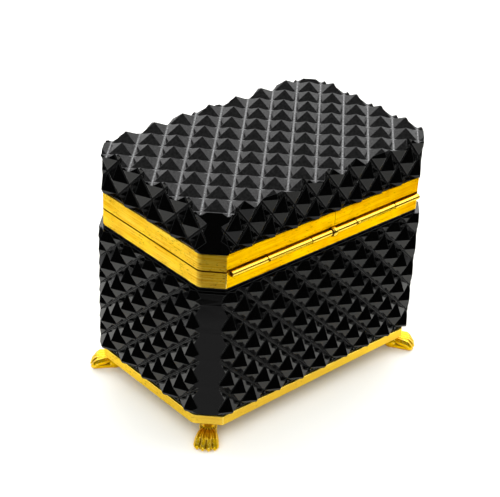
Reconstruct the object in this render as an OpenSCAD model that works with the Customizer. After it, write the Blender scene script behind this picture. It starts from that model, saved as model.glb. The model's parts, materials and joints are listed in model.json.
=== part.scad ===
// Glass casket: black diamond-cut glass in gilt bronze mounts, on four paw feet.
// Millimetres. Z is up from the floor, X runs along the length, the hinge is at +Y and the lock at -Y.

/* [Rims] */
// Length over the two rim bands
rim_l = 150; // [130:1:180]
// Width over the two rim bands
rim_w = 95; // [84:1:120]
// Corner cut of the rim bands, measured along a side
rim_cut = 9.3; // [7:0.1:12]
// Height of the body's rim band
body_rim_h = 9.1; // [7.5:0.1:12]
// Height of the lid's rim band
lid_rim_h = 9.2; // [7.5:0.1:12]
// Thickness of the rim bands
band_t = 1.2; // [1:0.1:1.6]
// Thickness of the rims' meeting flanges
flange_t = 1.2; // [1:0.1:1.6]
// Thickness of the collars inside the glass
collar_t = 0.8; // [0.6:0.1:1.2]
// Reach of the collars along the glass
collar_h = 5; // [3:0.5:8]
// Gap between the closed rims
lid_gap = 0.16; // [0.1:0.02:0.3]

/* [Body glass] */
// Height of the diamond-cut glass between base mount and rim
body_h = 75; // [55:0.1:95]
// Step of the groove floors out from the rim bands
body_proud = 0.4; // [0:0.1:1]
// Corner facet, measured along a side at the groove floors
body_cut = 7.2; // [5:0.1:9]
// Diamonds along a long side, a whole number and a half
body_n_long = 8.5; // [6.5:1:10.5]
// Diamonds along an end
body_n_end = 5; // [4:1:7]
// Height of one diamond
body_pitch_v = 16.2; // [13:0.1:19]
// Height of the lowest row of points above the base mount
body_row = 3.7; // [2:0.1:6]
// Overrun of the ends' cutting past the corner facets
body_end_over = 2.6; // [0.5:0.1:4]
// Step of the long sides' cutting towards their left-hand corner, seen from outside
body_step = 1.4; // [0.5:0.1:3]
// Full height of the points above a sharp groove
body_point_h = 4.4; // [3:0.1:5]
// Height of the flat groove floors above a sharp groove
body_flat = 0.25; // [0.2:0.05:0.6]
// Height of the plain glass next to the base mount and next to the rim
body_trim = 2; // [1.6:0.1:3]
// Thickness of the glass behind the rim
wall_t = 6.5; // [5.5:0.1:8]
// Thickness of the glass bottom
bottom_t = 7; // [5:0.5:10]

/* [Lid glass] */
// Set-back of the lid's groove floors from the rim bands
lid_in = 2; // [1.8:0.1:3]
// Height of one diamond on the lid's sides
lid_pitch_v = 18.6; // [16:0.1:20]
// Diamonds along the lid
lid_n_long = 8; // [7:1:9]
// Diamonds across the lid and along its ends
lid_n_end = 5; // [4:1:6]
// Diamonds along the lid's long sides
lid_side_n = 10; // [8:1:11]
// Height of the lid's glass edge above its rim
lid_h = 20.9; // [16:0.1:24]
// Full height of the points on the lid's top above a sharp groove
lid_point_h = 4.4; // [3:0.1:5]
// Full height of the points on the lid's sides above a sharp groove
lid_side_point_h = 4; // [3:0.1:5]
// Corner facet of the lid, measured along a side at the groove floors
lid_cut = 4.9; // [4:0.1:7]
// Thickness of the lid's glass top
top_t = 7; // [5:0.5:10]
// Height of the lid's flat groove floors above a sharp groove
lid_flat = 0.35; // [0.2:0.05:0.6]

/* [Base and feet] */
// Height of the feet
foot_h = 11.1; // [9:0.1:14]
// Height of the base mount's band
base_h = 5.4; // [4.5:0.1:7]
// Step of the base mount out from the rim bands
base_out = 0.9; // [0.5:0.1:2]
// Corner cut of the base mount
base_cut = 10.9; // [9:0.1:13]
// Thickness of the base mount's band
base_t = 1.4; // [1.2:0.1:2]
// Thickness of the flange under the glass
base_flange_t = 1.6; // [1.4:0.1:2.2]
// Width of the flange under the glass
base_flange_w = 12; // [11:0.5:16]
// Set-back of each foot's axis from the corner face
foot_back = 5.2; // [4.8:0.1:6]
// Reach of the toes out from the foot's axis
toe_reach = 13.8; // [11:0.1:15]
// Radius of a toe
toe_r = 1.95; // [1.7:0.05:2.1]
// Radius of the ankle
ankle_r = 3.5; // [3.2:0.1:4]
// Shank radius of the foot screws
screw_r = 1.2; // [1:0.05:1.4]
// Length of the foot screws under their heads
screw_l = 6.5; // [5:0.5:7.5]

/* [Hinge] */
// Radius of the barrel
barrel_r = 1.6; // [1.6:0.05:1.8]
// Radius of the pin
pin_r = 1.1; // [1:0.05:1.15]
// Radius of the ring on the middle knuckle
bead_r = 2.5; // [2.3:0.05:2.6]
// Width of the ring
bead_w = 3.2; // [2:0.1:4]
// Distance of the hinge axis behind the rims' back face
hinge_out = 0.6; // [0.5:0.05:0.8]
// Distance of the hinge axis below the meeting line
hinge_drop = 1.2; // [1:0.05:1.4]
// Depth of the pin inside the barrel's ends
pin_short = 2.5; // [1:0.5:5]
// Opening angle of the lid at its stop
lid_open = 100; // [90:1:106]

/* [Lock] */
// Width of the lock case
lock_w = 24; // [22:1:30]
// Throw of the bolt
bolt_throw = 3.5; // [3:0.1:4]
// Width of the bolt across the wall
bolt_y = 1.8; // [1.6:0.1:2]
// Height of the bolt
bolt_z = 2; // [1.8:0.1:2.2]
// Radius of the escutcheon
plate_r = 3.6; // [3.2:0.1:3.9]
// Thickness of the escutcheon
plate_t = 0.6; // [0.4:0.1:1]

/* [Fits] */
// Plaster between mounts and glass
bed_t = 0.8; // [0.6:0.1:1]
// Free space round the turning knuckles
turn_gap = 0.3; // [0.25:0.05:0.4]
// Radial running clearance of the lid's knuckles on the pin
pin_fit = 0.05; // [0.03:0.01:0.08]
// Space between neighbouring knuckles
knuckle_gap = 0.24; // [0.2:0.02:0.4]
// Sliding clearance of the bolt on each side
slide_fit = 0.1; // [0.06:0.02:0.16]
// Space between the cut glass and the edges of the mounts
glass_gap = 0.3; // [0.2:0.05:0.5]

/* [Hidden] */
$fn = 48;
root2 = sqrt(2);
base_z = foot_h;
body_z = base_z + base_h;
rim_z = body_z + body_h;
split_z = rim_z + body_rim_h;
lid_z = split_z + lid_gap;
lid_glass_z = lid_z + lid_rim_h;
edge_z = lid_glass_z + lid_h;
neck_in = band_t + bed_t;
hole_in = neck_in + wall_t;
collar_in = hole_in + collar_t;
base_l = rim_l + 2 * base_out;
base_w = rim_w + 2 * base_out;
foot_neck_in = base_t + bed_t;
floor_z = base_z + base_flange_t + bottom_t;
body_x = rim_l / 2 + body_proud;
body_y = rim_w / 2 + body_proud;
body_side = body_x - body_cut;
body_end = body_y - body_cut;
pitch_long = 2 * body_side / body_n_long;
pitch_end = 2 * (body_end + body_end_over) / body_n_end;
row_z = body_z + body_row;
lid_x = rim_l / 2 - lid_in;
lid_y = rim_w / 2 - lid_in;
lid_pitch_long = 2 * lid_x / lid_n_long;
lid_pitch_end = 2 * lid_y / lid_n_end;
lid_side_pitch = 2 * lid_x / lid_side_n;
hinge_y = rim_w / 2 + hinge_out;
hinge_z = split_z - hinge_drop;
barrel_l = rim_l - 2 * rim_cut;
knuckle_x = [0.484, 0.31, 0.09, -0.145, -0.36, -0.5] * barrel_l;
bead_x = (knuckle_x[2] + knuckle_x[3]) / 2;
leaf_in = 0.45;
facet_out = 0.15;
trim_in = 0.25;
ankle_h = 0.44 * foot_h;
ball_r = 1.26 * ankle_r;
toe_back = 0.5 * toe_r;
toe_root_z = 0.38 * foot_h;
toe_side = 2.2 * toe_r;
toe_mid = 0.76 * toe_r;
side_fall = 15;
mid_fall = 13;
rebate_h = 1.1;
heel_r = barrel_r + 0.6;
heel_t = 1;
heel_l = 2;
heel_far = sqrt(heel_r * heel_r + heel_t * heel_t / 4);
heel_turn = acos(-hinge_out / heel_far) - atan(heel_t / 2 / heel_r) - lid_open - 1;
bolt_tip = -5.4;
bolt_l = 9.4;
bolt_zc = rim_z + 4.2;
staple_x = -7;
staple_t = 2;
staple_y = 3.6;
lock_in = band_t + 0.2;
lock_d = 6;
lock_yc = -rim_w / 2 + lock_in + lock_d / 2;
lock_bottom = rim_z + 0.9;
key_r = 1.1;

// A plan with cut corners, drawn inside the named outline by the inset
module plan(l, w, cut, inset = 0) {
    x = l / 2 - inset;
    y = w / 2 - inset;
    c = cut - inset * (2 - root2);
    polygon([[x, y - c], [x - c, y], [-x + c, y], [-x, y - c],
        [-x, -y + c], [-x + c, -y], [x - c, -y], [x, -y + c]]);
}

module rim_slab(z0, z1, inset) {
    translate([0, 0, z0])
        linear_extrude(z1 - z0)
            plan(rim_l, rim_w, rim_cut, inset);
}

module rim_ring(z0, z1, outer, inner) {
    translate([0, 0, z0])
        linear_extrude(z1 - z0)
            difference() {
                plan(rim_l, rim_w, rim_cut, outer);
                plan(rim_l, rim_w, rim_cut, inner);
            }
}

module base_ring(z0, z1, outer, inner) {
    translate([0, 0, z0])
        linear_extrude(z1 - z0)
            difference() {
                plan(base_l, base_w, base_cut, outer);
                plan(base_l, base_w, base_cut, inner);
            }
}

// A block whose top is cut in diamond points over nu by nv half diamonds of du by dv, with floors at f.
// Grooves cross where the two half-diamond counts, plus the phase, add up to an even number.
module point_block(nu, nv, du, dv, h, f, phase, deep) {
    r = f / h;
    row = nu + 1;
    grid = row * (nv + 1);
    edge_u = nu * (nv + 1);
    edge_v = row * nv;
    corner = grid + edge_u + edge_v;
    function even(i, j) = (i + j + phase) % 2 == 0;
    function p(i, j) = j * row + i;
    function eu(i, j) = grid + j * nu + i;
    function ev(i, j) = grid + edge_u + j * row + i;
    points = concat(
        [for (j = [0 : nv], i = [0 : nu]) [i * du / 2, j * dv / 2, even(i, j) ? f : h]],
        [for (j = [0 : nv], i = [0 : nu - 1]) [(i + (even(i, j) ? r : 1 - r)) * du / 2, j * dv / 2, f]],
        [for (j = [0 : nv - 1], i = [0 : nu]) [i * du / 2, (j + (even(i, j) ? r : 1 - r)) * dv / 2, f]],
        [[0, 0, -deep], [nu * du / 2, 0, -deep], [nu * du / 2, nv * dv / 2, -deep], [0, nv * dv / 2, -deep]]);
    low_points = [for (j = [0 : nv - 1], i = [0 : nu - 1]) even(i, j)
        ? [p(i + 1, j), eu(i, j), ev(i + 1, j)]
        : [p(i, j), ev(i, j), eu(i, j)]];
    high_points = [for (j = [0 : nv - 1], i = [0 : nu - 1]) even(i, j)
        ? [p(i, j + 1), eu(i, j + 1), ev(i, j)]
        : [p(i + 1, j + 1), ev(i + 1, j), eu(i, j + 1)]];
    low_floors = [for (j = [0 : nv - 1], i = [0 : nu - 1]) even(i, j)
        ? [p(i, j), p(i + 1, j + 1), ev(i + 1, j), eu(i, j)]
        : [eu(i, j), ev(i, j), p(i, j + 1), p(i + 1, j)]];
    high_floors = [for (j = [0 : nv - 1], i = [0 : nu - 1]) even(i, j)
        ? [p(i, j), ev(i, j), eu(i, j + 1), p(i + 1, j + 1)]
        : [p(i + 1, j), p(i, j + 1), eu(i, j + 1), ev(i + 1, j)]];
    side_0 = [for (k = [0 : 2 * nu]) k % 2 == 0 ? p(k / 2, 0) : eu((k - 1) / 2, 0)];
    side_1 = [for (k = [0 : 2 * nv]) k % 2 == 0 ? p(nu, k / 2) : ev(nu, (k - 1) / 2)];
    side_2 = [for (k = [2 * nu : -1 : 0]) k % 2 == 0 ? p(k / 2, nv) : eu((k - 1) / 2, nv)];
    side_3 = [for (k = [2 * nv : -1 : 0]) k % 2 == 0 ? p(0, k / 2) : ev(0, (k - 1) / 2)];
    polyhedron(points, concat(low_points, high_points, low_floors, high_floors,
        [concat(side_0, [corner + 1, corner]), concat(side_1, [corner + 2, corner + 1]),
        concat(side_2, [corner + 3, corner + 2]), concat(side_3, [corner, corner + 3]),
        [corner, corner + 1, corner + 2, corner + 3]]));
}

// One cut wall of the body: the lattice reaches one diamond past each corner and past both mounts
module body_wall(n, pitch, out, phase, step = 0) {
    below = 2;
    nu = round(2 * n) + 4;
    nv = ceil((body_h - body_row) / body_pitch_v * 2) + below + 1;
    translate([-(n / 2 + 1) * pitch - step, 0, row_z - below * body_pitch_v / 2])
        rotate([90, 0, 0])
            translate([0, 0, out - body_flat])
                point_block(nu, nv, pitch, body_pitch_v, body_point_h, body_flat, phase, 3 * out);
}

// The four cut walls meet at the plain corner facets; the size stays as drawn
module body_cut_glass() {
    reach = body_point_h + 1;
    resize([0, 0, 0])
        intersection() {
            translate([0, 0, body_z + body_trim])
                linear_extrude(body_h - 2 * body_trim)
                    plan(2 * (body_x + reach), 2 * (body_y + reach), body_cut + 2 * reach - facet_out);
            body_wall(body_n_long, pitch_long, body_y, 1, body_step);
            rotate([0, 0, 180])
                body_wall(body_n_long, pitch_long, body_y, 0, body_step);
            rotate([0, 0, 90])
                body_wall(body_n_end, pitch_end, body_x, 0);
            rotate([0, 0, -90])
                body_wall(body_n_end, pitch_end, body_x, 1);
        }
}

module body_glass() {
    color([0.03, 0.03, 0.035])
        difference() {
            union() {
                body_cut_glass();
                rim_slab(body_z + glass_gap, rim_z - glass_gap, trim_in);
                translate([0, 0, base_z + base_flange_t])
                    linear_extrude(base_h)
                        plan(base_l, base_w, base_cut, foot_neck_in);
                rim_slab(rim_z - 2, split_z - flange_t, neck_in);
            }
            rim_slab(floor_z, split_z, hole_in);
            translate([-lock_w / 2 - 0.5, -rim_w / 2, lock_bottom - 0.5])
                cube([lock_w + 1, hole_in + 1, body_rim_h]);
        }
}

// One cut side of the lid, from below its rim's edge to past its top edge
module lid_side(n, pitch, out) {
    below = 4;
    above = 2;
    nu = round(2 * n) + 2;
    translate([-(n / 2 + 0.5) * pitch, 0, edge_z - below * lid_pitch_v / 2])
        rotate([90, 0, 0])
            translate([0, 0, out - lid_flat])
                point_block(nu, below + above, pitch, lid_pitch_v, lid_side_point_h, lid_flat, 1, 3 * out);
}

// The cut top and sides run into each other along the lid's edges; the size stays as drawn
module lid_cut_glass() {
    reach = lid_point_h + 1;
    resize([0, 0, 0])
        intersection() {
            translate([0, 0, lid_glass_z + glass_gap])
                linear_extrude(2 * lid_h)
                    plan(2 * (lid_x + reach), 2 * (lid_y + reach), lid_cut + 2 * reach);
            translate([-lid_x - lid_pitch_long / 2, -lid_y - lid_pitch_end / 2, edge_z - lid_flat])
                point_block(2 * lid_n_long + 2, 2 * lid_n_end + 2, lid_pitch_long, lid_pitch_end,
                    lid_point_h, lid_flat, lid_n_long + lid_n_end, 2 * lid_h);
            lid_side(lid_side_n, lid_side_pitch, lid_y);
            rotate([0, 0, 180])
                lid_side(lid_side_n, lid_side_pitch, lid_y);
            rotate([0, 0, 90])
                lid_side(lid_n_end, lid_pitch_end, lid_x);
            rotate([0, 0, -90])
                lid_side(lid_n_end, lid_pitch_end, lid_x);
        }
}

module lid_glass() {
    color([0.03, 0.03, 0.035])
        difference() {
            union() {
                lid_cut_glass();
                rim_slab(lid_z + flange_t, lid_glass_z + 1, neck_in + 0.6);
                rim_slab(lid_z + flange_t, lid_glass_z - glass_gap, neck_in);
            }
            rim_slab(lid_z, edge_z - top_t, hole_in);
        }
}

// A cylinder along the hinge axis between two places on X
module on_axis(r, x0, x1) {
    translate([min(x0, x1), hinge_y, hinge_z])
        rotate([0, 90, 0])
            cylinder(r = r, h = abs(x1 - x0));
}

// The room of one knuckle along the axis, longer or shorter than its share by twice the end space
module knuckle_space(k, r, ends = knuckle_gap / 2) {
    on_axis(r, knuckle_x[k] + ends, knuckle_x[k + 1] - ends);
}

module body_rim_mount() {
    color([0.86, 0.64, 0.18])
        difference() {
            union() {
                rim_ring(rim_z, split_z, 0, band_t);
                rim_ring(split_z - flange_t, split_z, 0, collar_in);
                rim_ring(split_z - flange_t - collar_h, split_z, hole_in, collar_in);
            }
            for (k = [0, 2, 4])
                knuckle_space(k, barrel_r);
            for (k = [1, 3])
                knuckle_space(k, barrel_r + turn_gap);
            on_axis(bead_r, bead_x - bead_w / 2, bead_x + bead_w / 2);
            translate([staple_x - staple_t / 2 - 0.5, lock_yc - staple_y / 2 - 0.6, rim_z])
                cube([staple_t + 1, staple_y + 1.2, body_rim_h + 1]);
            translate([-lock_w / 2 - 0.2, lock_yc - lock_d / 2 - 0.2, rim_z])
                cube([lock_w + 0.4, lock_d + 3, body_rim_h - flange_t]);
            translate([0, -rim_w / 2 + band_t + 1, bolt_zc])
                rotate([90, 0, 0])
                    keyhole(band_t + 2);
        }
}

module lid_rim_mount() {
    color([0.86, 0.64, 0.18])
        difference() {
            union() {
                rim_ring(lid_z, lid_glass_z, 0, band_t);
                rim_ring(lid_z, lid_z + flange_t, 0, collar_in);
                rim_ring(lid_z, lid_z + flange_t + collar_h, hole_in, collar_in);
            }
            translate([-barrel_l / 2, rim_w / 2 - band_t, lid_z - 1])
                cube([barrel_l, band_t + 1, rebate_h + 1]);
            for (k = [0, 2, 4])
                knuckle_space(k, barrel_r + turn_gap);
            on_axis(bead_r + turn_gap, bead_x - bead_w / 2 - turn_gap, bead_x + bead_w / 2 + turn_gap);
        }
}

module base_mount() {
    color([0.86, 0.64, 0.18])
        difference() {
            union() {
                base_ring(base_z, base_z + base_h, 0, base_t);
                base_ring(base_z, base_z + base_flange_t, 0, base_flange_w);
            }
            at_feet()
                screw_body(screw_r);
        }
}

module body_rim_bedding() {
    color([0.8, 0.77, 0.7])
        difference() {
            rim_ring(rim_z + 0.8, split_z - flange_t, band_t, neck_in);
            translate([-lock_w / 2 - 0.5, -rim_w / 2, rim_z])
                cube([lock_w + 1, hole_in, body_rim_h]);
            for (k = [1, 3])
                knuckle_space(k, barrel_r + turn_gap);
            on_axis(bead_r, bead_x - bead_w / 2, bead_x + bead_w / 2);
        }
}

module lid_rim_bedding() {
    color([0.8, 0.77, 0.7])
        rim_ring(lid_z + flange_t, lid_glass_z - 0.8, band_t, neck_in);
}

module base_bedding() {
    color([0.8, 0.77, 0.7])
        base_ring(base_z + base_flange_t, base_z + base_h - 0.6, base_t, foot_neck_in);
}

// Puts its child at all four corners, along the corner diagonals with X pointing out
module at_feet() {
    for (a = [0, 1], b = [0, 1])
        at_foot(a, b)
            children();
}

module at_foot(a, b) {
    face = base_cut / 2 + foot_back / root2;
    mirror([a, 0, 0])
        mirror([0, b, 0])
            translate([base_l / 2 - face, base_w / 2 - face, 0])
                rotate([0, 0, 45])
                    children();
}

module screw_body(r) {
    translate([0, 0, base_z + base_flange_t - r]) {
        cylinder(r1 = r, r2 = 2 * r, h = r);
        translate([0, 0, -screw_l])
            cylinder(r = r, h = screw_l + 0.01);
    }
}

module foot_screws() {
    color([0.6, 0.55, 0.45])
        at_feet()
            screw_body(screw_r);
}

// A toe: a round-ended rod that thins towards the ankle
module toe(spread, rise) {
    back_r = 0.62 * toe_r;
    length = toe_reach - toe_r - toe_back;
    translate([toe_back, spread * 0.45, toe_root_z])
        rotate([0, 0, atan(spread * 0.55 / length)])
            rotate([0, 90 + rise, 0])
                rotate_extrude()
                    difference() {
                        union() {
                            polygon([[0, 0], [back_r, 0], [toe_r, length], [0, length]]);
                            translate([0, length])
                                circle(r = toe_r);
                        }
                        translate([-toe_r, -toe_r])
                            square([toe_r, length + 3 * toe_r]);
                    }
}

module paw() {
    span = 3 * toe_reach;
    difference() {
        union() {
            translate([0, 0, foot_h - ankle_h])
                rotate_extrude()
                    polygon([[0, 0], [1.06 * ankle_r, 0], [0.9 * ankle_r, 0.27 * ankle_h],
                        [0.92 * ankle_r, 0.53 * ankle_h], [1.14 * ankle_r, 0.86 * ankle_h],
                        [1.2 * ankle_r, ankle_h], [0, ankle_h]]);
            translate([0, 0, foot_h - 0.98 * ankle_h])
                rotate_extrude()
                    translate([ankle_r, 0])
                        circle(r = 0.23 * ankle_r);
            translate([0.17 * ankle_r, 0, 0.7 * ball_r])
                sphere(r = ball_r);
            for (a = [-1, 1]) {
                toe(a * toe_side, side_fall);
                toe(a * toe_mid, mid_fall);
            }
        }
        translate([-span / 2, -span / 2, -span])
            cube(span);
        screw_body(screw_r);
        translate([-span / 2, -span / 2, foot_h])
            cube(span);
    }
}

module foot(a, b) {
    color([0.86, 0.64, 0.18])
        at_foot(a, b)
            paw();
}

module foot_back_right() {
    foot(0, 0);
}

module foot_back_left() {
    foot(1, 0);
}

module foot_front_right() {
    foot(0, 1);
}

module foot_front_left() {
    foot(1, 1);
}

module knuckle(k, bore) {
    difference() {
        knuckle_space(k, barrel_r, -knuckle_gap / 2);
        on_axis(bore, -rim_l, rim_l);
    }
}

module body_knuckle(k) {
    color([0.88, 0.67, 0.22])
        knuckle(k, pin_r);
}

// A lid knuckle has a leaf up to the lid's rim and a heel that stops the lid against the body's rim
module lid_knuckle(k) {
    x0 = knuckle_x[k + 1] + knuckle_gap / 2;
    x1 = knuckle_x[k] - knuckle_gap / 2;
    back = rim_w / 2 - band_t;
    face = rim_w / 2 - leaf_in;
    color([0.88, 0.67, 0.22])
        difference() {
            union() {
                knuckle(k, pin_r + pin_fit);
                translate([x0, 0, 0])
                    rotate([90, 0, 90])
                        linear_extrude(x1 - x0)
                            polygon([[back, lid_z], [hinge_y - 1.35, lid_z], [hinge_y - 1.05, hinge_z + 0.6],
                                [hinge_y - 0.8, hinge_z + 1.2], [face, lid_z + 0.3], [face, lid_z + rebate_h],
                                [back, lid_z + rebate_h]]);
                translate([x1 - heel_l, hinge_y, hinge_z])
                    rotate([-heel_turn, 0, 0])
                        translate([0, 1.2, -heel_t / 2])
                            cube([heel_l, heel_r - 1.2, heel_t]);
            }
            on_axis(pin_r + pin_fit, -rim_l, rim_l);
        }
}

module hinge_knuckle_1() {
    body_knuckle(0);
}

module hinge_knuckle_2() {
    lid_knuckle(1);
}

module hinge_knuckle_3() {
    body_knuckle(2);
}

module hinge_knuckle_4() {
    lid_knuckle(3);
}

module hinge_knuckle_5() {
    body_knuckle(4);
}

module hinge_bead() {
    color([0.88, 0.67, 0.22])
        translate([bead_x - bead_w / 2, hinge_y, hinge_z])
            rotate([0, 90, 0])
                rotate_extrude()
                    polygon([[barrel_r, 0], [bead_r - 0.35, 0], [bead_r, bead_w * 0.3], [bead_r, bead_w * 0.7],
                        [bead_r - 0.35, bead_w], [barrel_r, bead_w]]);
}

module hinge_pin() {
    color([0.7, 0.6, 0.4])
        on_axis(pin_r, knuckle_x[5] + pin_short, knuckle_x[0] - pin_short);
}

// A keyhole along Z: a round hole with a slot below
module keyhole(h) {
    cylinder(r = key_r, h = h);
    translate([-key_r * 0.5, -key_r * 2.3, 0])
        cube([key_r, key_r * 2.3, h]);
}

module bolt_way(x0, x1, grow) {
    translate([x0, lock_yc - bolt_y / 2 - grow, bolt_zc - bolt_z / 2 - grow])
        cube([x1 - x0, bolt_y + 2 * grow, bolt_z + 2 * grow]);
}

module lock_case() {
    color([0.72, 0.58, 0.3])
        difference() {
            translate([-lock_w / 2, lock_yc - lock_d / 2, lock_bottom])
                cube([lock_w, lock_d, split_z - flange_t - lock_bottom]);
            bolt_way(bolt_tip - bolt_throw - 1, bolt_tip + bolt_l + 0.5, slide_fit);
            translate([staple_x - staple_t / 2 - 0.5, lock_yc - staple_y / 2 - 0.6, lock_bottom + 0.8])
                cube([staple_t + 1, staple_y + 1.2, body_rim_h]);
            translate([0, lock_yc + lock_d / 2 - 1, bolt_zc])
                rotate([90, 0, 0])
                    keyhole(lock_d);
        }
}

module lock_bolt() {
    color([0.7, 0.68, 0.64])
        difference() {
            bolt_way(bolt_tip, bolt_tip + bolt_l, 0);
            translate([-key_r, lock_yc - bolt_y, bolt_zc - bolt_z])
                cube([2 * key_r, 2 * bolt_y, bolt_z]);
        }
}

module lock_staple() {
    low = bolt_zc - bolt_z / 2 - 1;
    color([0.72, 0.58, 0.3])
        difference() {
            translate([staple_x - staple_t / 2, lock_yc - staple_y / 2, low])
                cube([staple_t, staple_y, lid_z - low]);
            bolt_way(staple_x - staple_t, staple_x + staple_t, 0.3);
        }
}

module keyhole_escutcheon() {
    color([0.86, 0.64, 0.18])
        translate([0, -rim_w / 2, bolt_zc])
            rotate([90, 0, 0])
                difference() {
                    cylinder(r = plate_r, h = plate_t);
                    translate([0, 0, -1])
                        keyhole(plate_t + 2);
                }
}

body_glass();
lid_glass();
body_rim_mount();
lid_rim_mount();
base_mount();
body_rim_bedding();
lid_rim_bedding();
base_bedding();
foot_back_right();
foot_back_left();
foot_front_right();
foot_front_left();
foot_screws();
hinge_knuckle_1();
hinge_knuckle_2();
hinge_knuckle_3();
hinge_knuckle_4();
hinge_knuckle_5();
hinge_bead();
hinge_pin();
lock_case();
lock_bolt();
lock_staple();
keyhole_escutcheon();
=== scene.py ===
"""Glass casket: black diamond-cut glass in gilt bronze mounts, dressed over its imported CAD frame."""

import json
import math

import bmesh
import bpy
from bpy.props import FloatProperty, FloatVectorProperty, IntProperty, PointerProperty
from mathutils import Matrix, Vector

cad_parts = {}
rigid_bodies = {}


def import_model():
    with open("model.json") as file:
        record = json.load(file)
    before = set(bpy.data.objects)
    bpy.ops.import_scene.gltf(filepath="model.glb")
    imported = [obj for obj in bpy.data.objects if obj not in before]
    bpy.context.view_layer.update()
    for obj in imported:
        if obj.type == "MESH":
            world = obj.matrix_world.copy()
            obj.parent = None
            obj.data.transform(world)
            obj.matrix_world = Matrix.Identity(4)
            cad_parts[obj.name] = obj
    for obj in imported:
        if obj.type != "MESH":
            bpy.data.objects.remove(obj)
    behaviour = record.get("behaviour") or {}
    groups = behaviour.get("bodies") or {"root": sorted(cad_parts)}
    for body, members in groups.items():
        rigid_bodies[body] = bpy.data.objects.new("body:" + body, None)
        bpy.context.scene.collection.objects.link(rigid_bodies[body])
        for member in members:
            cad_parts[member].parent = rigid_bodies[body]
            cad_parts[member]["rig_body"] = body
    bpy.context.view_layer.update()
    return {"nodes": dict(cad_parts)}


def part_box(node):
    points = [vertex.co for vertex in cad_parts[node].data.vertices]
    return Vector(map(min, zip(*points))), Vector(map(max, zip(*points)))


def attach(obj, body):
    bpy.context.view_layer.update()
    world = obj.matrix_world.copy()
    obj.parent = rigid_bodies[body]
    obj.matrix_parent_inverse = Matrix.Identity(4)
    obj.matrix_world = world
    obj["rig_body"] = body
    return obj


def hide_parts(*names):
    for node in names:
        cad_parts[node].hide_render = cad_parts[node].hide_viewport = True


bl_info = {
    "name": "Glass Casket",
    "version": (1, 0, 0),
    "blender": (4, 5, 0),
    "location": "View3D > Sidebar > Casket",
    "description": "Dresses a cut-glass casket with worked glass, gilt bronze and paw feet",
    "category": "Object",
}

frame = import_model()
MM = 0.001

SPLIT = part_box("body_rim_mount")[1].z
RIM_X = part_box("body_rim_mount")[1].x
RIM_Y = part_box("body_rim_mount")[1].y
FOOT_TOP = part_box("foot_back_right")[1].z

# a face lies flat in an axis when its normal's share of that axis is larger
FLAT = 0.999
# groove floors of the lid's top lie no deeper than this below its points
GROOVE_DEPTH = 5 * MM


def linear(hex_colour):
    """An sRGB hex colour as a linear RGB tuple"""
    parts = [int(hex_colour[i : i + 2], 16) / 255 for i in (0, 2, 4)]
    return tuple(c / 12.92 if c <= 0.04045 else ((c + 0.055) / 1.055) ** 2.4 for c in parts)


class GlassSettings(bpy.types.PropertyGroup):
    """The cut glass"""

    colour: FloatVectorProperty(
        name="Glass", description="Colour of the polished glass", subtype="COLOR", default=linear("020202")
    )
    ground_colour: FloatVectorProperty(
        name="Ground",
        description="Colour of the matt groove floors",
        subtype="COLOR",
        default=linear("7c7e80"),
    )
    edge: FloatProperty(
        name="Edge wear",
        description="Width of the worn edges of the facets",
        unit="LENGTH",
        default=0.09 * MM,
    )
    groove: FloatProperty(
        name="Groove margin",
        description="Polished margin of the matt groove floors",
        unit="LENGTH",
        default=0.4 * MM,
    )
    polish: FloatProperty(
        name="Polish", description="Roughness of the facets", subtype="FACTOR", min=0, max=1, default=0.07
    )


class GiltSettings(bpy.types.PropertyGroup):
    """The gilding"""

    colour: FloatVectorProperty(
        name="Gilding",
        description="Colour of the bright gilding",
        subtype="COLOR",
        default=linear("fbca03"),
    )
    # pale is also the painted highlight on the band edges and the paws' crests
    pale: FloatVectorProperty(
        name="Pale gilding",
        description="Colour of rubbed gilding",
        subtype="COLOR",
        default=linear("fbdb60"),
    )
    deep: FloatVectorProperty(
        name="Deep gilding",
        description="Colour of the warmer patches",
        subtype="COLOR",
        default=linear("e6a403"),
    )
    # worn is also the painted shade in gaps, under the lid's points and in the paws' hollows
    worn: FloatVectorProperty(
        name="Worn", description="Colour of pits and worn places", subtype="COLOR", default=linear("7c4f12")
    )
    edge: FloatProperty(
        name="Edge", description="Width of the rounded edges of the bands", unit="LENGTH", default=0.36 * MM
    )
    bend: FloatProperty(
        name="Bend",
        description="Width of the soft bend from the ends to the corners",
        unit="LENGTH",
        default=1.9 * MM,
    )


class FootSettings(bpy.types.PropertyGroup):
    """The paw feet"""

    toe_reach: FloatProperty(
        name="Toe reach",
        description="Reach of the toes from the ankle's axis",
        unit="LENGTH",
        default=13.7 * MM,
    )
    toe_radius: FloatProperty(
        name="Toe radius",
        description="Radius of a toe",
        unit="LENGTH",
        default=2.05 * MM,
    )
    ankle: FloatProperty(name="Ankle", description="Radius of the ankle", unit="LENGTH", default=3.5 * MM)
    tufts: IntProperty(
        name="Tufts",
        description="Tufts in the ring of fur above the toes",
        default=18,
        min=6,
    )
    grain: FloatProperty(
        name="Grain",
        description="Finest detail of the casting",
        unit="LENGTH",
        default=0.17 * MM,
    )


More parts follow.
